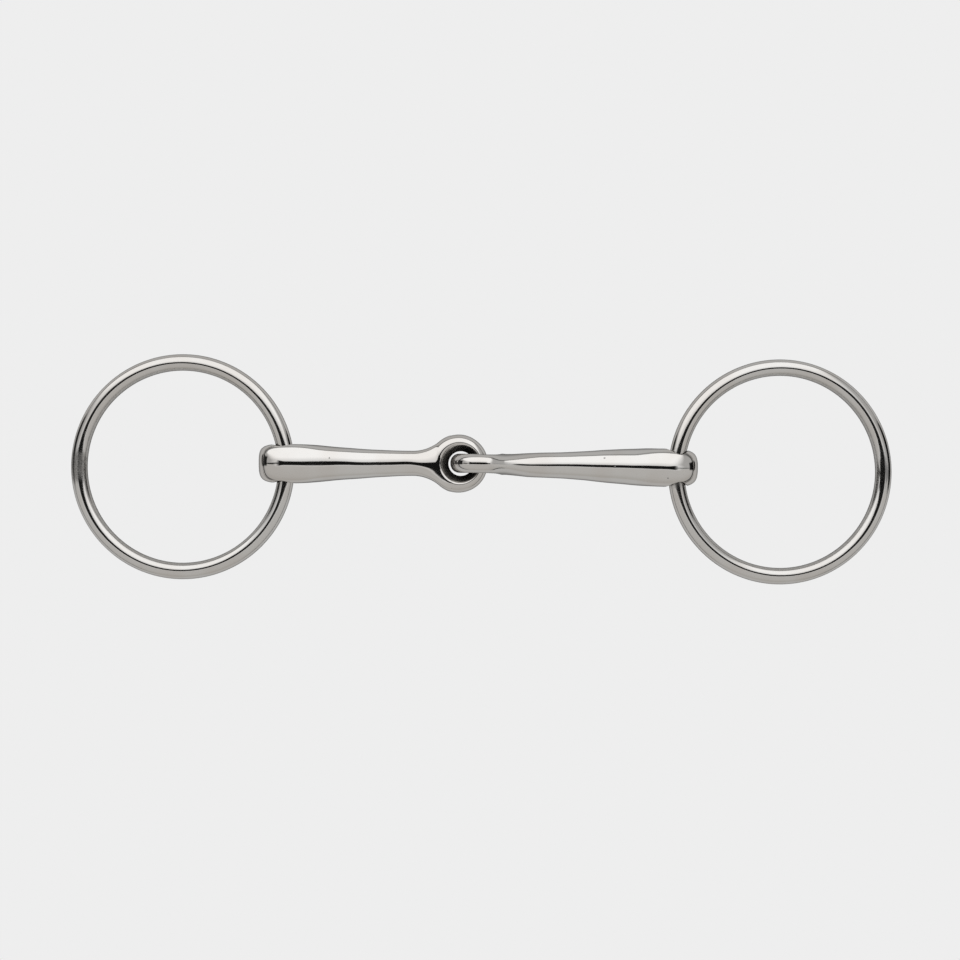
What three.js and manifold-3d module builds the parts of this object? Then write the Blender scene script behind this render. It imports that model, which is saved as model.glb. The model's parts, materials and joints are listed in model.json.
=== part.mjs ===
// A single-jointed loose ring snaffle bit: two tapered cannons linked eye through eye at the middle of
// the mouthpiece, and a loose ring run through the butt end of each. Millimetres, +Z up, +X from the
// left ring to the right ring. The bit lies on a level surface at z = 0: the butt ends, the lower rim
// of the upright eye and the far side of each ring touch it. The origin is midway between the rings.
//
// Each round is a polygon whose flats lie on the true radius, so a flat measures as the real surface.

import * as THREE from "three";
import { mergeVertices } from "three/addons/utils/BufferGeometryUtils.js";
import Module from "manifold-3d";

const wasm = await Module();
wasm.setup();

// Loose rings: one size of round wire, bent to a circle and welded.
const RING_INSIDE_DIAMETER = 70;
const WIRE_DIAMETER = 6;
const WIRE_SIDES = 12;
const RING_STEPS = 64;
const WIRE_RADIUS = WIRE_DIAMETER / 2;
const RING_RADIUS = RING_INSIDE_DIAMETER / 2 + WIRE_RADIUS;

// The hole across each butt end that the ring's wire runs through. Its mouths are flared.
const RING_HOLE_DIAMETER = 9;
const RING_HOLE_FLARE = 0.6;
const RING_HOLE_SIDES = 28;

// The eye at the inner end of each cannon: a ring with a full-round outer edge, countersunk from both
// faces down to a short straight wall at mid-thickness.
const EYE_DIAMETER = 21.2;
const EYE_THICKNESS = 7.15;
const EYE_HOLE_DIAMETER = 9.2;
const COUNTERSINK_DIAMETER = 15.6;
const EYE_WALL = 0.6;
const EYE_HOLE_SIDES = 40;
const EYE_OUTLINE_STEPS = 16;
const EYE_EDGE_STEPS = 4;
const EYE_RADIUS = EYE_DIAMETER / 2;
const EYE_HALF_THICKNESS = EYE_THICKNESS / 2;

// The eyes are linked: each rim passes through the middle of the other eye's hole.
const EYE_SPACING = (EYE_DIAMETER + EYE_HOLE_DIAMETER) / 4;

// The shoulder is the concave sweep from the neck of the cannon out to the eye.
const SHOULDER_RADIUS = 15;
const SHOULDER_STEPS = 5;
const NECK_LENGTH = 24;

const BARREL_SIDES = 28;
const BARREL_STEPS = 10;
const BUTT_STEPS = 5;
const BUTT_OUTLINE_STEPS = 12;
const BUTT_STOCK_SPARE = 0.1;

// How far a cutting tool stands past the surface that it cuts.
const CLEAR = 4;

// One entry for each cannon. hole and eye are the centres of its ring hole and of its eye. taper is the
// barrel's radius at distances from the hole, falling from the butt to the neck. beyond is how far the
// butt reaches past the hole. Seen along the hole the butt is rounded all that way, and seen from above
// only over the last stretch, cap. neck is the neck's half width in the plane of the eye. eyeTurn turns
// the eye about the cannon's length from lying flat. pierced is how far off centre the eye is drilled,
// along and across. ringReach is the distance from the hole to the centre of its ring.
const LEFT_EYE = [-8.3, 2, 9.6];
const CANNONS = [
  {
    side: "left",
    outward: -1,
    hole: [-72, 1.45, 7.15],
    eye: LEFT_EYE,
    taper: [[4, 7.1], [9, 6.98], [20, 6.05], [32, 5.2], [43, 4.62], [51, 4.3], [57, 3.7]],
    beyond: 9.4,
    cap: 4.8,
    neck: 4.5,
    eyeTurn: 0,
    pierced: [0.45, 0.45],
    ringReach: 36.95,
  },
  {
    side: "right",
    outward: 1,
    hole: [70.7, 1.15, 7.13],
    eye: [LEFT_EYE[0] + EYE_SPACING, LEFT_EYE[1], EYE_RADIUS],
    taper: [[4, 7], [10, 6.8], [26, 5.87], [42, 4.8], [55, 4.24], [61, 3.94], [65, 3.62]],
    beyond: 8.3,
    cap: 4.3,
    neck: 4.2,
    eyeTurn: Math.PI / 2,
    pierced: [0, 0],
    ringReach: 38.24,
  },
];

const STEEL = new THREE.MeshStandardMaterial({ color: 0xc9c7c2, roughness: 0.15, metalness: 1 });

// The radius of a polygon's corners that puts its flats at the given radius.
function cornerRadius(radius, sides) {
  return radius / Math.cos(Math.PI / sides);
}

// A profile of [radius, height] points turned about the Y axis, with flats facing along X and Z.
function turned(profile, sides) {
  const points = profile.map(([radius, height]) => new THREE.Vector2(cornerRadius(radius, sides), height));
  return new THREE.LatheGeometry(points, sides).rotateY(Math.PI / sides);
}

function solidOf(geometry) {
  const bare = geometry.clone();
  bare.deleteAttribute("normal");
  bare.deleteAttribute("uv");
  const merged = mergeVertices(bare, 1e-4);
  const vertProperties = new Float32Array(merged.attributes.position.array);
  const triVerts = new Uint32Array(merged.index.array);
  return new wasm.Manifold(new wasm.Mesh({ numProp: 3, vertProperties, triVerts }));
}

function geometryOf(solid) {
  const { vertProperties, triVerts } = solid.getMesh();
  const geometry = new THREE.BufferGeometry();
  geometry.setAttribute("position", new THREE.BufferAttribute(vertProperties, 3));
  geometry.setIndex(new THREE.BufferAttribute(triVerts, 1));
  geometry.computeVertexNormals();
  return geometry;
}

function lengthOf(cannon) {
  return new THREE.Vector3(...cannon.eye).distanceTo(new THREE.Vector3(...cannon.hole));
}

// The tapered barrel, along +X from its ring hole at the origin, with an elliptical rounded butt.
function barrel(cannon) {
  const buttRadius = cannon.taper[0][1];
  const profile = [];
  for (let i = 0; i <= BUTT_STEPS; i++) {
    const angle = (i / BUTT_STEPS) * (Math.PI / 2);
    profile.push([buttRadius * Math.sin(angle), cannon.cap * (1 - Math.cos(angle)) - cannon.beyond]);
  }
  const stations = cannon.taper.map(([along, radius]) => new THREE.Vector2(radius, along));
  for (const point of new THREE.SplineCurve(stations).getPoints(BARREL_STEPS)) {
    profile.push([point.x, point.y]);
  }
  const end = lengthOf(cannon) - EYE_HOLE_DIAMETER / 2 - EYE_WALL;
  profile.push([EYE_HALF_THICKNESS, end], [0, end]);
  return turned(profile, BARREL_SIDES).rotateZ(-Math.PI / 2);
}

// The stock that the barrel is cut from: its side outline is rounded about the ring hole at the butt and
// stands a little clear of the barrel everywhere else.
function buttStock(cannon) {
  const height = cannon.taper[0][1] + BUTT_STOCK_SPARE;
  const far = lengthOf(cannon);
  const outline = new THREE.Shape();
  outline.moveTo(far, -height);
  outline.lineTo(far, height);
  outline.absellipse(0, 0, cannon.beyond, height, Math.PI / 2, Math.PI * 1.5, false);
  const stock = new THREE.ExtrudeGeometry(outline, {
    depth: 2 * height,
    bevelEnabled: false,
    curveSegments: BUTT_OUTLINE_STEPS,
  });
  return stock.translate(0, 0, -height).rotateX(Math.PI / 2);
}

// The outline of neck, shoulders and eye in the plane of the eye, with the eye's centre at the origin.
function eyeOutline(neck) {
  const sweepHeight = neck + SHOULDER_RADIUS;
  const sweepX = -Math.sqrt((EYE_RADIUS + SHOULDER_RADIUS) ** 2 - sweepHeight ** 2);
  const meet = Math.atan2(sweepHeight, sweepX);
  const half = [new THREE.Vector2(-NECK_LENGTH, neck)];
  for (let i = 0; i < SHOULDER_STEPS; i++) {
    const angle = -Math.PI / 2 + (i / SHOULDER_STEPS) * (meet - Math.PI / 2);
    half.push(new THREE.Vector2(
      sweepX + SHOULDER_RADIUS * Math.cos(angle),
      sweepHeight + SHOULDER_RADIUS * Math.sin(angle),
    ));
  }
  for (let i = 0; i <= EYE_OUTLINE_STEPS; i++) {
    const angle = meet * (1 - i / EYE_OUTLINE_STEPS);
    half.push(new THREE.Vector2(EYE_RADIUS * Math.cos(angle), EYE_RADIUS * Math.sin(angle)));
  }
  const mirrored = half.slice(0, -1).reverse().map((point) => new THREE.Vector2(point.x, -point.y));
  return new THREE.Shape([...half, ...mirrored].reverse());
}

// Neck, shoulders and eye before the eye is pierced, as thick as the eye with a full-round edge.
function eyeBlank(cannon) {
  const flat = 0.1;
  const round = (EYE_THICKNESS - flat) / 2;
  return new THREE.ExtrudeGeometry(eyeOutline(cannon.neck), {
    depth: flat,
    bevelThickness: round,
    bevelSize: round,
    bevelOffset: -round,
    bevelSegments: EYE_EDGE_STEPS,
  }).translate(0, 0, -flat / 2);
}

// The tool that pierces and countersinks the eye, about an axis along Z.
function eyeTool(cannon) {
  const wallRadius = EYE_HOLE_DIAMETER / 2;
  const slope = (COUNTERSINK_DIAMETER / 2 - wallRadius) / (EYE_HALF_THICKNESS - EYE_WALL / 2);
  const reach = EYE_HALF_THICKNESS + CLEAR;
  const wide = wallRadius + slope * (reach - EYE_WALL / 2);
  const profile = [
    [0, -reach],
    [wide, -reach],
    [wallRadius, -EYE_WALL / 2],
    [wallRadius, EYE_WALL / 2],
    [wide, reach],
    [0, reach],
  ];
  const [along, across] = cannon.pierced;
  return turned(profile, EYE_HOLE_SIDES).rotateX(Math.PI / 2).translate(along, across, 0);
}

// The tool that bores the ring hole across the butt, about Y, with a flare at each mouth.
function ringHoleTool(cannon) {
  const radius = RING_HOLE_DIAMETER / 2;
  const mouth = cannon.taper[0][1];
  const reach = mouth + CLEAR;
  const straight = mouth - RING_HOLE_FLARE;
  const wide = radius + reach - straight;
  const profile = [
    [0, -reach],
    [wide, -reach],
    [radius, -straight],
    [radius, straight],
    [wide, reach],
    [0, reach],
  ];
  return turned(profile, RING_HOLE_SIDES);
}

// One cannon, along +X from its ring hole at the origin.
function cannonGeometry(cannon) {
  const toEye = (geometry) => geometry.rotateX(cannon.eyeTurn).translate(lengthOf(cannon), 0, 0);
  const solid = solidOf(barrel(cannon))
    .intersect(solidOf(buttStock(cannon)))
    .add(solidOf(toEye(eyeBlank(cannon))))
    .subtract(solidOf(toEye(eyeTool(cannon))))
    .subtract(solidOf(ringHoleTool(cannon)));
  return geometryOf(solid);
}

function cannonMesh(cannon) {
  const mesh = new THREE.Mesh(cannonGeometry(cannon), STEEL);
  const hole = new THREE.Vector3(...cannon.hole);
  const along = new THREE.Vector3(...cannon.eye).sub(hole).normalize();
  const up = new THREE.Vector3().crossVectors(along, new THREE.Vector3(0, 1, 0)).normalize();
  const across = new THREE.Vector3().crossVectors(up, along);
  mesh.position.copy(hole);
  mesh.quaternion.setFromRotationMatrix(new THREE.Matrix4().makeBasis(along, across, up));
  mesh.name = cannon.side + "_cannon";
  return mesh;
}

function ringGeometry() {
  const corner = cornerRadius(WIRE_RADIUS, WIRE_SIDES);
  const profile = [];
  for (let i = 0; i <= WIRE_SIDES; i++) {
    const angle = ((i + 0.5) / WIRE_SIDES) * 2 * Math.PI;
    profile.push([RING_RADIUS + corner * Math.cos(angle), corner * Math.sin(angle)]);
  }
  return turned(profile, RING_STEPS).rotateX(Math.PI / 2);
}

// A ring hangs down from its hole until its far side touches the surface. Its plane holds the hole's axis.
function ringMesh(cannon) {
  const mesh = new THREE.Mesh(ringGeometry(), STEEL);
  const [holeX, , holeZ] = cannon.hole;
  const droop = Math.asin((holeZ - WIRE_RADIUS) / (RING_RADIUS + cannon.ringReach));
  mesh.position.set(
    holeX + cannon.outward * cannon.ringReach * Math.cos(droop),
    0,
    holeZ - cannon.ringReach * Math.sin(droop),
  );
  mesh.rotation.y = cannon.outward * droop;
  mesh.name = cannon.side + "_ring";
  return mesh;
}

const bit = new THREE.Group();
for (const cannon of CANNONS) bit.add(cannonMesh(cannon), ringMesh(cannon));

export default bit;
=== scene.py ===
"""Looks for a loose ring snaffle bit: two polished cannons linked eye through eye, and two wire rings.

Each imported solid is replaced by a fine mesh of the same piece. The rings are swept wires. The cannons are
smooth implicit solids, meshed on a grid and then moved onto the exact surface. Lengths inside the shape
functions are millimetres, because the piece is drawn in them, and everything in Blender is in metres.
"""

import json
import math

import bpy
import numpy as np
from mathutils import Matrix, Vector


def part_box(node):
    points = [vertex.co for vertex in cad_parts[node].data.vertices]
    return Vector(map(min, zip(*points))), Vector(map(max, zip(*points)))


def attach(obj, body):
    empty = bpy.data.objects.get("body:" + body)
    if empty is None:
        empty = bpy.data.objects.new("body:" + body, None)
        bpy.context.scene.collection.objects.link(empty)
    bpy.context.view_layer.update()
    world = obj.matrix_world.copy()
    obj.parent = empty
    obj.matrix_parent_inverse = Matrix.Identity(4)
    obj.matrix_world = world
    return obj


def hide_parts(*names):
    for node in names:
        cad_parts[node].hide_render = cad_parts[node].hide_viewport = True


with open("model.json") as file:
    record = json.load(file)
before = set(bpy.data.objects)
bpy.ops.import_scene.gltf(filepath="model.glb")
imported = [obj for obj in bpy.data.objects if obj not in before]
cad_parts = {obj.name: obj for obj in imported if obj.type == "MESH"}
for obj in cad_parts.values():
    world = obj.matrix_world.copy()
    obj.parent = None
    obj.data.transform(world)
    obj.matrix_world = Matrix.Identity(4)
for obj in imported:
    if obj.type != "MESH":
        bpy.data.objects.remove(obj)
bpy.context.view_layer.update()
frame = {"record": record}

MM = 0.001

# ---------------------------------------------------------------- sizes, in millimetres

WIRE_RADIUS = 3.0
RING_RADIUS = 38.0
RING_SEGMENTS = 480
WIRE_SEGMENTS = 56

RING_HOLE_RADIUS = 4.15
RING_HOLE_ROUNDING = 0.35

NECK = 4.4
EYE_RADIUS = 10.55
CAD_EYE_RADIUS = 10.6
EYE_HOLE_RADIUS = 4.45
COUNTERSINK_SLOPE = 0.86
COUNTERSINK_WAIST = 0.5
CREST_ROUNDING = 0.8

# Where a cannon's section changes, from start to end. The barrel turns into the butt at these distances from
# the ring hole. The others are distances before the eye's centre: the section grows squarer, its face leans,
# its lower half flattens, and the arm narrows by two shares to end inside the eye.
BUTT_TAKES_OVER = (18.0, 3.0)
SQUARING = (11.0, 3.0)
LEANING = (20.0, 11.0)
FLATTENING = (18.0, 7.0)
NARROWING = (3.5, -1.0)
NARROWER_IN_PLANE = 0.4
NARROWER_THROUGH = 0.3
ARM_END_ROUNDING = 0.5

# The unevenness that hand polishing left: the depth of its longest waves, how fast the shorter ones lose
# depth, the lengths, and how many waves there are.
POLISH_DEPTH = 0.07
POLISH_FALL = 1.5
POLISH_LONGEST = 30
POLISH_SHORTEST = 7
POLISH_WAVES = 14

# ---------------------------------------------------------------- places, from the frame

JOINTS = {joint["name"]: joint for joint in frame["record"]["behaviour"]["joints"]}


def joint_point(name):
    return np.array(JOINTS[name]["pos_m"]) / MM


def joint_axis(name):
    axis = np.array(JOINTS[name]["axis"], float)
    return axis / np.linalg.norm(axis)


def right_eye_centre():
    """The upright right eye is the tallest and innermost part of its cannon, which its box shows."""
    low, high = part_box("right_cannon")
    across = joint_point("centre_fold")[1]
    return np.array([low.x / MM + CAD_EYE_RADIUS, across, high.z / MM - CAD_EYE_RADIUS])


# Each cannon's own axes run x from its ring hole to its eye, y along the ring hole and z upwards.
#   across          the direction of the ring hole
#   taper           the barrel's half width across the bit, at distances from the ring hole
#   depth           the barrel's half height there
#   beyond          how far the butt reaches past the ring hole
#   rounded_from    where the butt's top starts to fall away
#   crest           the radius of the butt's top across the bit
#   corner          how sharply that top meets the sides
#   crown           the share of roundness in the barrel's section
#   squarer         how much of it is lost towards the eye
#   turned          whether the eye stands upright
#   shoulder        the radius of the hollow curve that widens the neck into the eye
#   half_thickness  half the eye's thickness
#   rim             how square the eye's rim is: 2 is round
#   blend           how widely the rim and the neck run together
#   pierced         how far past the eye's centre its hole is drilled
#   lean            the slope of the shoulder's face at the middle
#   flatter         the share of roundness that the lower half of the shoulder has lost
#   seed            picks the waves left by hand polishing
CANNONS = {
    "left": {
        "hole": joint_point("left_ring_swing"),
        "across": joint_axis("left_ring_swing"),
        "eye": joint_point("centre_fold"),
        "taper": [(0, 7.1), (9, 6.96), (20, 6.05), (32, 5.18), (44, 4.6), (56, 4.5), (66, 4.5)],
        "depth": [(0, 7.0), (9, 6.8), (20, 5.6), (32, 4.6), (44, 4.0), (56, 3.72), (66, 3.66)],
        "beyond": 9.15,
        "rounded_from": 2.0,
        "crest": 8.4,
        "corner": 12,
        "crown": 0.76,
        "squarer": 0.32,
        "turned": False,
        "shoulder": 15.0,
        "half_thickness": 3.55,
        "rim": 2.0,
        "blend": 0.25,
        "pierced": 0.8,
        "lean": 0.082,
        "flatter": 0.72,
        "seed": 3,
    },
    "right": {
        "hole": joint_point("right_ring_swing"),
        "across": joint_axis("right_ring_swing"),
        "eye": right_eye_centre(),
        "taper": [(0, 7.0), (10, 6.8), (26, 5.87), (42, 4.8), (55, 4.2), (64, 3.5), (72, 3.36)],
        "depth": [(0, 7.0), (10, 6.8), (26, 5.87), (42, 4.8), (55, 4.4), (64, 4.4), (72, 4.4)],
        "beyond": 8.25,
        "rounded_from": 6.5,
        "crest": 6.9,
        "corner": 11,
        "crown": 1.0,
        "squarer": 0.0,
        "turned": True,
        "shoulder": 46.0,
        "half_thickness": 3.38,
        "rim": 2.15,
        "blend": 1.0,
        "pierced": 0.0,
        "lean": 0.0,
        "flatter": 0.0,
        "seed": 8,
    },
}

# ---------------------------------------------------------------- shape helpers


def smooth_min(a, b, width):
    """The lesser of two values, rounded where they are within a width of each other."""
    share = np.clip(0.5 + 0.5 * (b - a) / width, 0, 1)
    return b * (1 - share) + a * share - width * share * (1 - share)


def smooth_max(a, b, width):
    return -smooth_min(-a, -b, width)


def smooth_step(low, high, value):
    """Rises smoothly from 0 at low to 1 at high, which may be the lesser of the two."""
    t = np.clip((value - low) / (high - low), 0, 1)
    return t * t * t * (t * (6 * t - 15) + 10)


def spline(points):
    """A natural cubic spline through (place, value) points, level beyond both ends."""
    place, value = np.array(points, float).T
    gap = np.diff(place)
    slope = np.diff(value) / gap
    count = len(place)
    system = np.eye(count)
    right = np.zeros(count)
    for i in range(1, count - 1):
        system[i, i - 1 : i + 2] = gap[i - 1], 2 * (gap[i - 1] + gap[i]), gap[i]
        right[i] = 6 * (slope[i] - slope[i - 1])
    bend = np.linalg.solve(system, right)

    def at(x):
        x = np.clip(x, place[0], place[-1])
        i = np.clip(np.searchsorted(place, x) - 1, 0, count - 2)
        left, rest = x - place[i], place[i + 1] - x
        curve = (bend[i] * rest**3 + bend[i + 1] * left**3) / (6 * gap[i])
        start = (value[i] / gap[i] - bend[i] * gap[i] / 6) * rest
        end = (value[i + 1] / gap[i] - bend[i + 1] * gap[i] / 6) * left
        return curve + start + end

    return at


def hand_polish(seed):
    """A gentle unevenness as waves in seeded directions, the short ones shallower."""
    random = np.random.RandomState(seed)
    vectors = random.normal(size=(POLISH_WAVES, 3))
    vectors /= np.linalg.norm(vectors, axis=1)[:, None]
    lengths = np.exp(random.uniform(math.log(POLISH_SHORTEST), math.log(POLISH_LONGEST), POLISH_WAVES))
    phases = random.uniform(0, 2 * math.pi, POLISH_WAVES)
    heights = POLISH_DEPTH * (lengths / POLISH_LONGEST) ** POLISH_FALL

    def at(x, y, z):
        total = 0
        for vector, length, phase, height in zip(vectors, lengths, phases, heights):
            along = vector[0] * x + vector[1] * y + vector[2] * z
            total = total + height * np.sin(2 * math.pi * along / length + phase)
        return total

    return at


def shoulder_outline(shoulder):
    """The half width of neck, hollow shoulder and eye at a distance before the eye's centre."""
    sweep_height = NECK + shoulder
    sweep_start = math.sqrt((EYE_RADIUS + shoulder) ** 2 - sweep_height**2)
    meet = sweep_start * EYE_RADIUS / (EYE_RADIUS + shoulder)

    def at(before):
        inward = np.clip(sweep_start - before, 0, shoulder)
        sweep = sweep_height - np.sqrt(shoulder**2 - inward**2)
        circle = np.sqrt(np.clip(EYE_RADIUS**2 - np.clip(before, 0, EYE_RADIUS) ** 2, 0, None))
        return np.where(before > meet, sweep, circle)

    return at


# ---------------------------------------------------------------- the cannon as an implicit solid


def cannon_length(cannon):
    return np.linalg.norm(cannon["eye"] - cannon["hole"])


def cannon_hollows(cannon):
    """A function of two values, for the eye's hole and the ring hole. Each is positive in its hole and 0 on
    its wall, in mm."""
    length = cannon_length(cannon)
    waist = EYE_HOLE_RADIUS - COUNTERSINK_SLOPE * COUNTERSINK_WAIST

    def hollows(x, y, z):
        inplane, through = (z, y) if cannon["turned"] else (y, z)
        ream = np.hypot(x - length - cannon["pierced"], inplane)
        opening = waist + COUNTERSINK_SLOPE * np.hypot(through, COUNTERSINK_WAIST)
        countersink = (opening - ream) / math.hypot(1, COUNTERSINK_SLOPE)
        return countersink, RING_HOLE_RADIUS - np.hypot(x, z)

    return hollows


def arm_field(cannon):
    """The barrel's inner half, neck and shoulders: a lofted section, round at the barrel and flat at the
    eye."""
    length = cannon_length(cannon)
    taper = spline(cannon["taper"])
    depth = spline(cannon["depth"])
    outline = shoulder_outline(cannon["shoulder"])

    def arm(x, inplane, through):
        before = length - x
        barrel_in = depth(x) if cannon["turned"] else taper(x)
        barrel_through = taper(x) if cannon["turned"] else depth(x)
        fade = smooth_step(*NARROWING, before)
        half_in = (barrel_in + np.maximum(outline(before) - NECK, 0)) * (1 - NARROWER_IN_PLANE * fade)
        half_through = barrel_through * (1 - NARROWER_THROUGH * fade)
        crown = cannon["crown"] - cannon["squarer"] * smooth_step(*SQUARING, before)
        across = np.abs(inplane) / half_in
        offset = cannon["lean"] * half_in**2 / (crown * half_through) * smooth_step(*LEANING, before)
        leaning = (inplane + offset * np.maximum(1 - across**2, 0)) / half_in
        flatter = np.where(leaning < 0, cannon["flatter"] * smooth_step(*FLATTENING, before), 0)
        crown = crown * (1 - flatter)
        level = crown * leaning**2 + (1 - crown) * across ** (6 + 6 * flatter)
        level = level + (through / half_through) ** 2
        reach = np.hypot(inplane, through)
        return reach * (1 - 1 / np.sqrt(np.maximum(level, 1e-9)))

    return arm


def butt_field(cannon):
    """The barrel's outer half and the butt: a crowned block with rounded corners and a domed end."""
    taper = spline(cannon["taper"])
    depth = spline(cannon["depth"])
    crown = cannon["crown"]
    start = cannon["rounded_from"]
    corner = cannon["corner"]

    def butt(x, y, z):
        half_across, half_up = taper(np.maximum(x, 0)), depth(np.maximum(x, 0))
        across = np.abs(y) / half_across
        barrel = np.sqrt(crown * across**2 + (1 - crown) * across**6 + (z / half_up) ** 2)
        back = np.clip((start - x) / (cannon["beyond"] + start), 0, 2)
        dome = 1 - np.sqrt(np.clip(1 - back**2, 0, 1))
        fall = half_up * dome + half_up * np.maximum(back - 1, 0)
        lens = (np.abs(z) + y * y / (2 * cannon["crest"]) + fall) / half_up
        sides = (across**4 + back**4) ** 0.25
        block = (lens**corner + sides**corner) ** (1 / corner)
        level = barrel + smooth_step(*BUTT_TAKES_OVER, x) * (block - barrel)
        reach = np.sqrt(np.minimum(x, 0) ** 2 + y * y + z * z)
        return reach * (1 - 1 / np.maximum(level, 1e-6))

    return butt


def eye_field(cannon):
    """The eye before it is drilled: a thick disc with a rounded rim."""
    length = cannon_length(cannon)
    half_thickness = cannon["half_thickness"]
    core = EYE_RADIUS - half_thickness
    power = cannon["rim"]

    def disc(x, inplane, through):
        past_core = np.maximum(np.hypot(length - x, inplane) - core, 0)
        return (past_core**power + np.abs(through) ** power) ** (1 / power) - half_thickness

    return disc


def cannon_field(cannon):
    """A function that is negative inside the cannon and about the distance to its surface, in mm."""
    length = cannon_length(cannon)
    arm = arm_field(cannon)
    butt = butt_field(cannon)
    disc = eye_field(cannon)
    hollows = cannon_hollows(cannon)
    polish = hand_polish(cannon["seed"])

    def field(x, y, z):
        inplane, through = (z, y) if cannon["turned"] else (y, z)
        bar = np.where(x > length / 2, arm(x, inplane, through), butt(x, y, z))
        bar = smooth_max(bar, x - length, ARM_END_ROUNDING)
        body = smooth_min(bar, disc(x, inplane, through), cannon["blend"]) + polish(x, y, z)
        countersink, bored = hollows(x, y, z)
        body = smooth_max(body, countersink, CREST_ROUNDING)
        return smooth_max(body, bored, RING_HOLE_ROUNDING)

    return field


# ---------------------------------------------------------------- meshing an implicit solid

GRID_STEP = 0.24
PROJECTION_ROUNDS = 4
SIGN_ROUNDS = 6
BOX_MARGIN = 0.5

# The least value kept at a grid corner, in grid steps.
LEAST_VALUE = 0.03

FACE_CORNERS = ((0, 0), (1, 0), (1, 1), (0, 1))
CUBE_CORNERS = [(i, j, k) for i in (0, 1) for j in (0, 1) for k in (0, 1)]
CUBE_EDGES = [
    (a, b)
    for a in range(8)
    for b in range(a + 1, 8)
    if sum(abs(p - q) for p, q in zip(CUBE_CORNERS[a], CUBE_CORNERS[b])) == 1
]


def alternating_faces(inside, first, second):
    """The lowest corners of the grid faces along two axes whose corners are in and out by turns."""
    around = []
    for a, b in FACE_CORNERS:
        cut = [slice(None)] * 3
        cut[first] = slice(a, a + inside.shape[first] - 1)
        cut[second] = slice(b, b + inside.shape[second] - 1)
        around.append(inside[tuple(cut)])
    alike = (around[0] == around[2]) & (around[1] == around[3])
    return np.argwhere(alike & (around[0] != around[1]))


def steady(values, least):
    """Grid values with none so near 0 that it makes tiny faces, and with one sign changed on each
    alternating face, where four quads would share an edge. settle() then puts the points back on the
    true surface."""
    values = np.where(np.abs(values) < least, np.where(values < 0, -least, least), values)
    for _ in range(SIGN_ROUNDS):
        for way in range(3):
            first, second = (way + 1) % 3, (way + 2) % 3
            for place in alternating_faces(values < 0, first, second):
                corners = []
                for a, b in FACE_CORNERS:
                    corner = place.copy()
                    corner[first] += a
                    corner[second] += b
                    corners.append(tuple(corner))
                nearest = min(corners, key=lambda corner: abs(values[corner]))
                values[nearest] = -values[nearest]
    return values


def surface_net(field, low, high, step):
    """Vertices and outward quads of the field's zero surface, one vertex in each grid cell it crosses."""
    axes = [np.arange(a, b + step, step) for a, b in zip(low, high)]
    values = steady(field(*np.meshgrid(*axes, indexing="ij", sparse=True)), LEAST_VALUE * step)
    inside = values < 0
    cells = tuple(n - 1 for n in values.shape)

    def corner(array, offset):
        return array[tuple(slice(o, o + n) for o, n in zip(offset, cells))]

    count = sum(corner(inside, offset).astype(np.int8) for offset in CUBE_CORNERS)
    active = (count > 0) & (count < 8)
    index = np.full(cells, -1)
    index[active] = np.arange(active.sum())
    total = np.zeros((active.sum(), 3))
    crossings = np.zeros(active.sum())
    for a, b in CUBE_EDGES:
        at_a = corner(values, CUBE_CORNERS[a])[active]
        at_b = corner(values, CUBE_CORNERS[b])[active]
        crossed = (at_a < 0) != (at_b < 0)
        share = np.where(crossed, at_a / np.where(crossed, at_a - at_b, 1), 0)
        start, end = np.array(CUBE_CORNERS[a]), np.array(CUBE_CORNERS[b])
        total += np.where(crossed[:, None], start + share[:, None] * (end - start), 0)
        crossings += crossed
    place = np.argwhere(active) + total / crossings[:, None]
    points = np.array([axis[0] for axis in axes]) + place * step
    return points, np.concatenate([quads_across(inside, index, way) for way in range(3)])


def quads_across(inside, index, way):
    """One quad round each grid edge along the given axis that crosses the surface."""
    first, second = (way + 1) % 3, (way + 2) % 3
    inner = [slice(1, -1)] * 3
    inner[way] = slice(None)
    block = inside[tuple(inner)]
    here = [slice(None)] * 3
    there = [slice(None)] * 3
    here[way], there[way] = slice(0, -1), slice(1, None)
    start, end = block[tuple(here)], block[tuple(there)]
    corners = []
    for a, b in FACE_CORNERS:
        cell = [slice(None)] * 3
        cell[first] = slice(a, a + start.shape[first])
        cell[second] = slice(b, b + start.shape[second])
        corners.append(index[tuple(cell)])
    quads = np.stack(corners, axis=-1)
    leaving = quads[start & ~end]
    entering = quads[~start & end][:, ::-1]
    return np.concatenate([leaving, entering])


def gradient(field, points, step=0.02):
    """The field's slope along each axis."""
    slopes = []
    for axis in np.eye(3) * step:
        ahead = field(*(points + axis).T)
        behind = field(*(points - axis).T)
        slopes.append((ahead - behind) / (2 * step))
    return np.stack(slopes, axis=1)


def settle(field, points):
    """Moves each point onto the surface along the field's slope, and gives the normals there."""
    for _ in range(PROJECTION_ROUNDS):
        slope = gradient(field, points)
        squared = np.maximum((slope**2).sum(axis=1), 1e-6)
        points = points - slope * (field(*points.T) / squared)[:, None]
    slope = gradient(field, points)
    return points, slope / np.linalg.norm(slope, axis=1)[:, None]


# ---------------------------------------------------------------- building the pieces


def new_piece(name, points, faces, normals, material, marks):
    """A smooth mesh object from points in metres in the frame's axes. marks are named values at its points,
    which its material reads."""
    mesh = bpy.data.meshes.new(name)
    mesh.from_pydata(points.tolist(), [], faces.tolist())
    mesh.polygons.foreach_set("use_smooth", np.ones(len(mesh.polygons), bool))
    mesh.validate()
    mesh.normals_split_custom_set_from_vertices(normals.tolist())
    for mark, values in marks.items():
        layer = mesh.attributes.new(mark, "FLOAT", "POINT")
        layer.data.foreach_set("value", np.asarray(values, np.float32))
    mesh.materials.append(material)
    piece = bpy.data.objects.new(name, mesh)
    bpy.context.scene.collection.objects.link(piece)
    return piece


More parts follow.
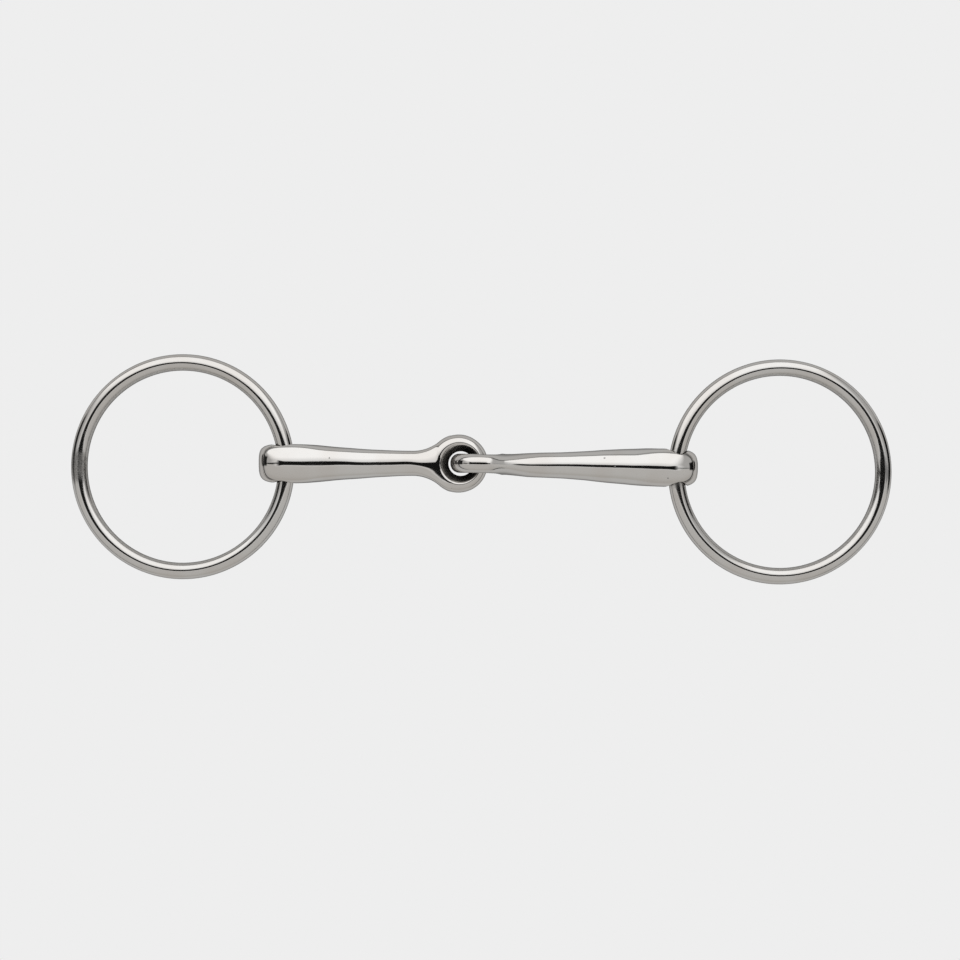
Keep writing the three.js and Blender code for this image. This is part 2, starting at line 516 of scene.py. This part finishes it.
def cannon_axes(cannon):
    """The cannon's own three axes, as unit rows in the frame's axes."""
    along = cannon["eye"] - cannon["hole"]
    along = along / np.linalg.norm(along)
    up = np.cross(along, cannon["across"])
    return np.stack([along, cannon["across"], up / np.linalg.norm(up)])


# A hole's raw surface starts this far outside its wall, and is complete at the second distance. Painted shade
# darkens the wall far inside the hole, from the first distance to the hole's middle, and wholly from the
# second.
WALL = (-0.12, -0.02)
SHADE_IN_EYE = (4.2, 0.5)
SHADE_IN_RING_HOLE = (6.5, 4.0)


def hole_marks(cannon, points):
    """How unpolished the steel is at each point, on a hole's wall, and how much painted shade darkens it far
    inside the hole, from 0 to 1.
    """
    countersink, bored = cannon_hollows(cannon)(*points.T)
    along_bore, upwards = np.abs(points[:, 1]), np.abs(points[:, 2])
    through = along_bore if cannon["turned"] else upwards
    # Painted shade far inside each hole, strongest at its middle.
    eye_shade = smooth_step(*WALL, countersink) * smooth_step(*SHADE_IN_EYE, through)
    bore_shade = smooth_step(*WALL, bored) * smooth_step(*SHADE_IN_RING_HOLE, along_bore)
    return {
        "dull_and_shade": smooth_step(*WALL, np.maximum(countersink, bored)),
        "deep_shade": np.maximum(eye_shade, bore_shade),
    }


def make_cannon(side, material):
    """The cannon's mesh, found in a box that is a little larger than the cannon."""
    cannon = CANNONS[side]
    field = cannon_field(cannon)
    spare = 2 * GRID_STEP
    wide = EYE_RADIUS + BOX_MARGIN
    tall = cannon["taper"][0][1] + BOX_MARGIN
    half = (tall, wide) if cannon["turned"] else (wide, tall)
    low = (-cannon["beyond"] - spare, -half[0], -half[1])
    high = (cannon_length(cannon) + EYE_RADIUS + spare, half[0], half[1])
    points, quads = surface_net(field, low, high, GRID_STEP)
    points, normals = settle(field, points)
    axes = cannon_axes(cannon)
    places = (cannon["hole"] + points @ axes) * MM
    marks = hole_marks(cannon, points)
    return new_piece(side + "_cannon_polished", places, quads, normals @ axes, material, marks)


# Each ring is dulled at its weld, and less so on its inner side, where the darker, rougher raw surface is
# painted shade. The weld is placed by its angle round the ring from the ring hole. Its dullness starts and is
# complete at two angles from the weld, in degrees, and the inner side's painted shade at two cosines round
# the wire.
WELD_TURN = {"left": math.pi, "right": 0.0}
WELD_SPREAD = (11, 4)
WELD_DULLNESS = 0.75
INNER_SHADE_SPREAD = (-0.5, -0.88)
INNER_SHADE = 0.5


def ring_centre(side):
    low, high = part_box(side + "_ring")
    return np.array((low + high) / 2) / MM


def make_ring(side, material):
    """A round wire swept round a circle, hanging in the plane of its CAD ring."""
    centre = ring_centre(side)
    hole = CANNONS[side]["hole"]
    inward = np.array([hole[0] - centre[0], 0, hole[2] - centre[2]])
    inward /= np.linalg.norm(inward)
    across = np.array([0.0, 1.0, 0.0])
    up = np.cross(inward, across)
    turn = np.arange(RING_SEGMENTS) * 2 * math.pi / RING_SEGMENTS
    roll = np.arange(WIRE_SEGMENTS) * 2 * math.pi / WIRE_SEGMENTS
    outward = np.cos(turn)[:, None] * inward + np.sin(turn)[:, None] * across
    normals = np.cos(roll)[None, :, None] * outward[:, None] + np.sin(roll)[None, :, None] * up
    points = centre + RING_RADIUS * outward[:, None] + WIRE_RADIUS * normals
    i, j = np.meshgrid(np.arange(RING_SEGMENTS), np.arange(WIRE_SEGMENTS), indexing="ij")
    i_next, j_next = (i + 1) % RING_SEGMENTS, (j + 1) % WIRE_SEGMENTS
    corners = [(i, j), (i_next, j), (i_next, j_next), (i, j_next)]
    quads = np.stack([a * WIRE_SEGMENTS + b for a, b in corners], axis=-1).reshape(-1, 4)
    from_weld = np.degrees(np.arccos(np.clip(np.cos(turn - WELD_TURN[side]), -1, 1)))
    weld = WELD_DULLNESS * smooth_step(*WELD_SPREAD, from_weld)
    # Painted shade on the wire's inner side, which the material shows as darker, rougher raw steel.
    inner = INNER_SHADE * smooth_step(*INNER_SHADE_SPREAD, np.cos(roll))
    dull_and_shade = np.maximum(inner[None, :], weld[:, None])
    marks = {"dull_and_shade": dull_and_shade.reshape(-1), "deep_shade": np.zeros(dull_and_shade.size)}
    places = points.reshape(-1, 3) * MM
    return new_piece(side + "_ring_wire", places, quads, normals.reshape(-1, 3), material, marks)


# ---------------------------------------------------------------- materials


class Tree:
    """Shorthand for adding nodes to a node tree. A value is a node's output or a plain number or colour."""

    def __init__(self, tree):
        self.tree = tree
        tree.nodes.clear()

    def add(self, kind, **settings):
        node = self.tree.nodes.new(kind)
        for key, value in settings.items():
            setattr(node, key, value)
        return node

    def feed(self, socket, value):
        if isinstance(value, bpy.types.NodeSocket):
            self.tree.links.new(value, socket)
        else:
            socket.default_value = value

    def math(self, operation, *values):
        node = self.add("ShaderNodeMath", operation=operation)
        for socket, value in zip(node.inputs, values):
            self.feed(socket, value)
        return node.outputs[0]

    def sloped(self, value, slope, start):
        return self.math("ADD", self.math("MULTIPLY", value, slope), start)

    def ramp(self, value, low, high):
        """Goes smoothly from 0 at low to 1 at high, which may be the lesser of the two."""
        node = self.add("ShaderNodeMapRange", interpolation_type="SMOOTHSTEP")
        self.feed(node.inputs["Value"], value)
        falling = high < low
        node.inputs["From Min"].default_value = min(low, high)
        node.inputs["From Max"].default_value = max(low, high)
        node.inputs["To Min"].default_value = 1.0 if falling else 0.0
        node.inputs["To Max"].default_value = 0.0 if falling else 1.0
        return node.outputs["Result"]

    def both(self, *values):
        """The product, which is 1 where all the values are 1."""
        result = values[0]
        for value in values[1:]:
            result = self.math("MULTIPLY", result, value)
        return result

    def mix(self, share, first, second):
        node = self.add("ShaderNodeMix", data_type="RGBA")
        self.feed(node.inputs["Factor"], share)
        for name, value in (("A", first), ("B", second)):
            socket = next(s for s in node.inputs if s.name == name and s.type == "RGBA")
            self.feed(socket, value)
        return next(s for s in node.outputs if s.type == "RGBA")

    def noise(self, place, scale, detail, stretch=(1, 1, 1)):
        """Noise from about 0 to 1, with scale waves to a metre, or fewer along an axis stretched below 1."""
        mapping = self.add("ShaderNodeMapping")
        mapping.inputs["Scale"].default_value = stretch
        self.feed(mapping.inputs["Vector"], place)
        node = self.add("ShaderNodeTexNoise")
        node.inputs["Scale"].default_value = scale
        node.inputs["Detail"].default_value = detail
        self.feed(node.inputs["Vector"], mapping.outputs[0])
        return node.outputs["Fac"]

    def show(self, kind, socket):
        output = self.add(kind)
        self.feed(output.inputs["Surface"], socket)

    def glow(self, colour):
        """Ends a material that shines with a colour and takes no light."""
        emission = self.add("ShaderNodeEmission")
        self.feed(emission.inputs["Color"], colour)
        self.show("ShaderNodeOutputMaterial", emission.outputs[0])


def new_material(name):
    material = bpy.data.materials.new(name)
    material.use_nodes = True
    return material, Tree(material.node_tree)


def grey(value, warmth=0.0):
    """A grey whose red is raised and blue lowered by its warmth."""
    return (value * (1 + warmth), value, value * (1 - 1.6 * warmth), 1)


# Each noise's waves to a metre, its detail, and its stretch where it isn't the same all ways.
NOISES = {
    "clouds": (60, 3),
    "grain": (1300, 4),
    "smudges": (140, 4),
    "pit_edges": (1900, 2),
    "pit_places": (45, 0),
    "ripple": (240, 2, (0.35, 1, 1)),
    "polishing_lines": (2600, 2, (0.2, 1, 1)),
}

# The noise values between which the marks made from them come in.
CLOUD_EDGE = (0.35, 0.65)
GRAIN_EDGE = (0.25, 0.75)
SMUDGE_EDGE = (0.45, 0.75)
PIT_PLACES_EDGE = (0.64, 0.66)

MOUTHPIECE_TINT = (0.79, 0.78, 0.765, 1)
MOUTHPIECE_ROUGHNESS = 0.05
RING_TINT = (0.77, 0.76, 0.745, 1)
RING_ROUGHNESS = 0.08

# The polished steel's clouds are this share of its tint. Raw steel is mottled between two greys.
CLOUD_SHARES = (0.95, 0.93, 0.915)
RAW_DARK = (0.24, 0.235, 0.225, 1)
RAW_PALE = (0.52, 0.51, 0.495, 1)
# Painted shade far inside a hole: the raw steel's mottle between two much darker greys.
DEEP_SHADE_DARK = (0.07, 0.07, 0.07, 1)
DEEP_SHADE_PALE = (0.22, 0.215, 0.21, 1)

# A pit fills the middle of a Voronoi cell. Its edge and how ragged that is are in cells.
PIT_CELLS_PER_METRE = 130
PIT_EDGE = (0.12, 0.085)
PIT_RAGGEDNESS = 0.12
PIT_DARKNESS = 0.8
PIT_GREY = grey(0.08)

SMUDGE_ROUGHNESS = 0.05
RAW_ROUGHNESS = 0.22

# The ripple is this deep. The other heights are shares of it.
BUMP_METRES = 0.00004
BUMP_STRENGTH = 0.5
LINE_HEIGHT = 0.06
PIT_DEPTH = 1.5


def steel_pits(tree, place):
    """1 in the few small ragged pits and 0 elsewhere."""
    spots = tree.add("ShaderNodeTexVoronoi")
    spots.inputs["Scale"].default_value = PIT_CELLS_PER_METRE
    tree.feed(spots.inputs["Vector"], place)
    ragged = tree.math("MULTIPLY", tree.noise(place, *NOISES["pit_edges"]), PIT_RAGGEDNESS)
    edge = tree.math("ADD", spots.outputs["Distance"], ragged)
    few = tree.ramp(tree.noise(place, *NOISES["pit_places"]), *PIT_PLACES_EDGE)
    return tree.both(tree.ramp(edge, *PIT_EDGE), few)


def steel_colour(tree, place, tint, dull_and_shade, pits):
    """The polished steel's clouds, the mottled raw steel where the mesh is marked unpolished or painted with
    shade, painted shade far inside a hole, and the dark pits.
    """
    clouds = tree.ramp(tree.noise(place, *NOISES["clouds"]), *CLOUD_EDGE)
    darker = [channel * share for channel, share in zip(tint, CLOUD_SHARES)]
    polished = tree.mix(clouds, (*darker, 1), tint)
    grain = tree.ramp(tree.noise(place, *NOISES["grain"]), *GRAIN_EDGE)
    # Painted shade far inside a hole.
    deep_shade = tree.add("ShaderNodeAttribute", attribute_name="deep_shade").outputs["Fac"]
    raw = tree.mix(deep_shade, tree.mix(grain, RAW_DARK, RAW_PALE), tree.mix(grain, DEEP_SHADE_DARK, DEEP_SHADE_PALE))
    colour = tree.mix(dull_and_shade, polished, raw)
    return tree.mix(tree.math("MULTIPLY", pits, PIT_DARKNESS), colour, PIT_GREY)


def steel_bump(tree, place, pits):
    """The normals of a surface with a long ripple, fine polishing lines and pits."""
    ripple = tree.noise(place, *NOISES["ripple"])
    lines = tree.noise(place, *NOISES["polishing_lines"])
    height = tree.math("ADD", ripple, tree.math("MULTIPLY", lines, LINE_HEIGHT))
    height = tree.math("SUBTRACT", height, tree.math("MULTIPLY", pits, PIT_DEPTH))
    bump = tree.add("ShaderNodeBump")
    bump.inputs["Strength"].default_value = BUMP_STRENGTH
    bump.inputs["Distance"].default_value = BUMP_METRES
    tree.feed(bump.inputs["Height"], height)
    return bump.outputs[0]


def polished_steel(name, tint, roughness):
    """Polished stainless steel: faint colour clouds, uneven gloss, fine polishing lines and a few pits.
    Where the mesh is marked unpolished, inside holes and at a weld, it is the rougher and darker raw surface;
    on a ring's inner side the same mark paints shade with it. Far inside a hole, painted shade makes it
    darker still."""
    material, tree = new_material(name)
    place = tree.add("ShaderNodeTexCoord").outputs["Object"]
    # The mark for unpolished steel, which on a ring's inner side is painted shade.
    dull_and_shade = tree.add("ShaderNodeAttribute", attribute_name="dull_and_shade").outputs["Fac"]
    pits = steel_pits(tree, place)
    smudges = tree.ramp(tree.noise(place, *NOISES["smudges"]), *SMUDGE_EDGE)
    rough = tree.sloped(smudges, SMUDGE_ROUGHNESS, roughness)
    rough = tree.math("ADD", rough, tree.math("MULTIPLY", dull_and_shade, RAW_ROUGHNESS))
    shader = tree.add("ShaderNodeBsdfPrincipled")
    shader.inputs["Metallic"].default_value = 1.0
    tree.feed(shader.inputs["Base Color"], steel_colour(tree, place, tint, dull_and_shade, pits))
    tree.feed(shader.inputs["Roughness"], rough)
    tree.feed(shader.inputs["Normal"], steel_bump(tree, place, pits))
    tree.show("ShaderNodeOutputMaterial", shader.outputs[0])
    return material


# ---------------------------------------------------------------- studio

BACKGROUND = grey(0.855)
FRONT_WALL = grey(0.45, 0.03)
BACK_WALL = grey(0.33, 0.01)
END_WALL = grey(0.44, 0.01)
TABLE_AROUND = grey(0.50, 0.012)
TABLE_BELOW = grey(0.16, 0.01)
HORIZON = grey(0.06)

# Where one of these turns into another: WALL_SIDES by a direction's y, the ENDS by how far its x lies from
# 0, and the rest by its height in degrees.
WALL_SIDES = (-0.05, 0.05)
WALL_ENDS = (0.5, 0.9)
TABLE_DARKENS = (-25, -75)
TABLE_EDGES = (-1.0, 1.0)
HORIZON_TOP = (4.0, 1.5)
HORIZON_BOTTOM = (-4.0, -1.5)
HORIZON_ENDS = (0.3, 0.6)

# The dark opening at each end of the tent: its middle and half size in degrees, its soft border in half
# sizes squared, where it is cut off at the middle, and its grey by which way along x it lies.
GAP_AZIMUTH = 8.0
GAP_HEIGHT = -1.0
GAP_HALF_WIDTH = 16.0
GAP_HALF_HEIGHT = 20.0
GAP_BORDER = (1.25, 0.7)
GAP_SIDE = (0.0, 0.1)
GAP_GREYS = {1.0: 0.006, -1.0: 0.03}


def dark_gap(tree, along, azimuth, height):
    """The dark opening at one end of the tent: an upright blob on the horizon."""
    tall = tree.math("DIVIDE", tree.math("SUBTRACT", height, GAP_HEIGHT), GAP_HALF_HEIGHT)
    wide = tree.math("DIVIDE", tree.math("SUBTRACT", azimuth, GAP_AZIMUTH), GAP_HALF_WIDTH)
    squares = tree.math("ADD", tree.math("MULTIPLY", tall, tall), tree.math("MULTIPLY", wide, wide))
    return tree.both(tree.ramp(squares, *GAP_BORDER), tree.ramp(along, *GAP_SIDE))


def tent_colour(tree, x, y, z):
    """The tent by direction: its walls, the table, which is darkest straight below, where the bit shades it,
    the dark line between them, and a gap at each end."""
    height = tree.math("MULTIPLY", tree.math("ARCSINE", z), 180 / math.pi)
    out = tree.math("ABSOLUTE", x)
    wall = tree.mix(tree.ramp(y, *WALL_SIDES), FRONT_WALL, BACK_WALL)
    wall = tree.mix(tree.ramp(out, *WALL_ENDS), wall, END_WALL)
    table = tree.mix(tree.ramp(height, *TABLE_DARKENS), TABLE_AROUND, TABLE_BELOW)
    colour = tree.mix(tree.ramp(height, *TABLE_EDGES), table, wall)
    at_horizon = tree.both(tree.ramp(height, *HORIZON_TOP), tree.ramp(height, *HORIZON_BOTTOM))
    colour = tree.mix(tree.both(at_horizon, tree.ramp(out, *HORIZON_ENDS)), colour, HORIZON)
    azimuth = tree.math("MULTIPLY", tree.math("ARCTAN2", y, out), 180 / math.pi)
    for way, inside in GAP_GREYS.items():
        gap = dark_gap(tree, tree.math("MULTIPLY", x, way), azimuth, height)
        colour = tree.mix(gap, colour, grey(inside))
    return colour


def studio_world():
    """The tent that the steel reflects. The camera sees a plain pale ground instead."""
    world = bpy.data.worlds.new("light_tent")
    bpy.context.scene.world = world
    world.use_nodes = True
    tree = Tree(world.node_tree)
    split = tree.add("ShaderNodeSeparateXYZ")
    tree.feed(split.inputs[0], tree.add("ShaderNodeTexCoord").outputs["Generated"])
    colour = tent_colour(tree, *split.outputs)
    camera_ray = tree.add("ShaderNodeLightPath").outputs["Is Camera Ray"]
    background = tree.add("ShaderNodeBackground")
    tree.feed(background.inputs["Color"], tree.mix(camera_ray, colour, BACKGROUND))
    tree.show("ShaderNodeOutputWorld", background.outputs[0])


ROOF_HEIGHT = 0.333
ROOF_HALF_LENGTH = 1.9
ROOF_BACK = 1.8
ROOF_FRONT = -1.9

PANEL = 1.12
PANEL_FAR = grey(PANEL, 0.004)
PANEL_BY_SLOT = grey(PANEL * 0.7, 0.004)
CLOTH_BY_SLOT = grey(0.52, 0.02)
CLOTH_FAR = grey(0.45, 0.03)
FRINGE = grey(0.66, 0.01)
SLOT = grey(0.008)
SEAM_LEFT = grey(0.02)
SEAM_RIGHT = grey(0.22)
ROOF_GAP = grey(0.01)

# Where each of these starts and is complete on the roof, in metres: the ENDS out from the middle along x,
# SEAM_SIDES along x, the EDGES past the slot's edge, and the rest along y.
CLOTH_SPAN = (-0.1, -1.4)
PANEL_START = (-0.004, 0.004)
PANEL_BRIGHTENS = (0.04, 0.2)
SEAM_HALF_WIDTH = (0.034, 0.018)
SEAM_ENDS = (0.2, 0.28)
SEAM_SIDES = (-0.1, 0.1)
FRINGE_EDGES = (0.035, 0.01)
FRINGE_START = (0.0, -0.01)
FRINGE_ENDS = (0.4, 0.3)
SLOT_EDGES = (0.006, -0.006)
SLOT_ENDS = (0.31, 0.23)

# The panel's bright area ends on a slanting edge at each end: which way that is, the edge's slope and its
# distance from the middle, and where its soft border starts and is fully bright. By the slot both ends
# start from the same line, which slants the other way.
PANEL_ENDS = ((1.0, 0.55, 0.19, 0.16, -0.1), (-1.0, 1.35, 0.15, 0.25, -0.15))
PANEL_NEAR_END = (-0.9, 0.4)

# The slot's middle and half width, how much wider it grows at its ends, in front and behind, where it goes
# from one to the other along y, and where it widens along x.
SLOT_MIDDLE = 0.006
SLOT_HALF_WIDTH = 0.05
SLOT_WIDENING = (0.02, 0.04)
SLOT_SIDES = (-0.02, 0.02)
SLOT_WIDENS = (0.14, 0.30)

# The gap near each end of the roof: the slope of the line to it from the roof's centre, how far from that
# slope its border lies, and where it starts along x.
ROOF_GAP_SLOPE = 0.14
ROOF_GAP_BORDER = (0.33, 0.2)
ROOF_GAP_START = (0.8, 1.05)


def roof_panel(tree, x, y):
    """The bright panel over the tent's back, which is dimmer next to the slot."""
    near_end = tree.sloped(y, *PANEL_NEAR_END)
    lit = []
    for way, slope, start, dark_from, bright_from in PANEL_ENDS:
        end = tree.math("MAXIMUM", near_end, tree.sloped(y, slope, start))
        past_end = tree.math("SUBTRACT", tree.math("MULTIPLY", x, way), end)
        lit.append(tree.ramp(past_end, dark_from, bright_from))
    strength = tree.mix(tree.ramp(y, *PANEL_BRIGHTENS), PANEL_BY_SLOT, PANEL_FAR)
    return tree.mix(tree.both(*lit), END_WALL, strength)


def roof_slot(tree, colour, x, y, out):
    """The roof's colour with the dark slot that the camera looks through, which widens towards its two
    ends, the seam that runs on from it, and the pale fringe of cloth along its front."""
    on_seam = tree.ramp(tree.math("ABSOLUTE", y), *SEAM_HALF_WIDTH)
    seam_colour = tree.mix(tree.ramp(x, *SEAM_SIDES), SEAM_LEFT, SEAM_RIGHT)
    colour = tree.mix(tree.both(on_seam, tree.ramp(out, *SEAM_ENDS)), colour, seam_colour)
    middle = tree.math("ABSOLUTE", tree.math("SUBTRACT", y, SLOT_MIDDLE))
    flare = tree.mix(tree.ramp(y, *SLOT_SIDES), *map(grey, SLOT_WIDENING))
    widening = tree.math("MULTIPLY", tree.ramp(out, *SLOT_WIDENS), flare)
    past_slot_edge = tree.math("SUBTRACT", middle, tree.math("ADD", widening, SLOT_HALF_WIDTH))
    in_front = tree.both(tree.ramp(past_slot_edge, *FRINGE_EDGES), tree.ramp(y, *FRINGE_START))
    colour = tree.mix(tree.both(in_front, tree.ramp(out, *FRINGE_ENDS)), colour, FRINGE)
    slot = tree.both(tree.ramp(past_slot_edge, *SLOT_EDGES), tree.ramp(out, *SLOT_ENDS))
    return tree.mix(slot, colour, SLOT)


def roof_material():
    """The tent's roof seen in reflection: a bright panel over its back, grey cloth over its front, the slot
    between them, and a dark gap near each end."""
    material, tree = new_material("tent_roof")
    split = tree.add("ShaderNodeSeparateXYZ")
    tree.feed(split.inputs[0], tree.add("ShaderNodeTexCoord").outputs["Object"])
    x, y = split.outputs[:2]
    out = tree.math("ABSOLUTE", x)
    front = tree.mix(tree.ramp(y, *CLOTH_SPAN), CLOTH_BY_SLOT, CLOTH_FAR)
    colour = tree.mix(tree.ramp(y, *PANEL_START), front, roof_panel(tree, x, y))
    colour = roof_slot(tree, colour, x, y, out)
    aside = tree.math("SUBTRACT", tree.math("DIVIDE", y, out), ROOF_GAP_SLOPE)
    beside_line = tree.ramp(tree.math("ABSOLUTE", aside), *ROOF_GAP_BORDER)
    gap = tree.both(tree.ramp(out, *ROOF_GAP_START), beside_line)
    tree.glow(tree.mix(gap, colour, ROOF_GAP))
    return material


def make_sheet(name, left, right, front, back, height, material):
    """A flat stage sheet, which casts no shadow and gives no diffuse light."""
    corners = [(left, front, height), (right, front, height), (right, back, height), (left, back, height)]
    mesh = bpy.data.meshes.new(name)
    mesh.from_pydata(corners, [], [(0, 1, 2, 3)])
    mesh.materials.append(material)
    sheet = bpy.data.objects.new(name, mesh)
    bpy.context.scene.collection.objects.link(sheet)
    sheet.visible_diffuse = False
    sheet.visible_shadow = False
    return sheet


def make_roof():
    """The roof shows only in reflections, so that the camera can look down through it."""
    reach = ROOF_HALF_LENGTH
    roof = make_sheet("tent_roof", -reach, reach, ROOF_FRONT, ROOF_BACK, ROOF_HEIGHT, roof_material())
    roof.visible_camera = False


FLOOR_HEIGHT = -0.1
FLOOR_HALF_WIDTH = 4.0


def make_floor():
    """A plain pale floor, low enough that a ring swung downwards stays above it."""
    material, tree = new_material("pale_floor")
    tree.glow(BACKGROUND)
    half = FLOOR_HALF_WIDTH
    floor = make_sheet("floor", -half, half, -half, half, FLOOR_HEIGHT, material)
    floor.visible_glossy = False


CAMERA_LENS = 100.0
CAMERA_SENSOR = 36.0
VIEW_WIDTH = 0.3507
VIEW_CENTRE = (-0.00047, -0.0039, 0.003)
CAMERA_ROLL = 0.5


def make_camera():
    """A long lens looking straight down."""
    data = bpy.data.cameras.new("camera")
    data.lens = CAMERA_LENS
    data.sensor_width = CAMERA_SENSOR
    camera = bpy.data.objects.new("camera", data)
    bpy.context.scene.collection.objects.link(camera)
    distance = VIEW_WIDTH * CAMERA_LENS / CAMERA_SENSOR
    camera.location = Vector(VIEW_CENTRE) + Vector((0, 0, distance))
    camera.rotation_euler = (0, 0, math.radians(CAMERA_ROLL))
    bpy.context.scene.camera = camera


# ---------------------------------------------------------------- scene

make_camera()
studio_world()
make_roof()
make_floor()
bpy.context.scene.view_settings.view_transform = "Standard"

mouthpiece_steel = polished_steel("mouthpiece_steel", MOUTHPIECE_TINT, MOUTHPIECE_ROUGHNESS)
ring_steel = polished_steel("ring_steel", RING_TINT, RING_ROUGHNESS)
for side in CANNONS:
    cannon = make_cannon(side, mouthpiece_steel)
    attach(cannon, side + "_cannon")
    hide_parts(side + "_cannon")
    ring = make_ring(side, ring_steel)
    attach(ring, side + "_ring")
    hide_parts(side + "_ring")
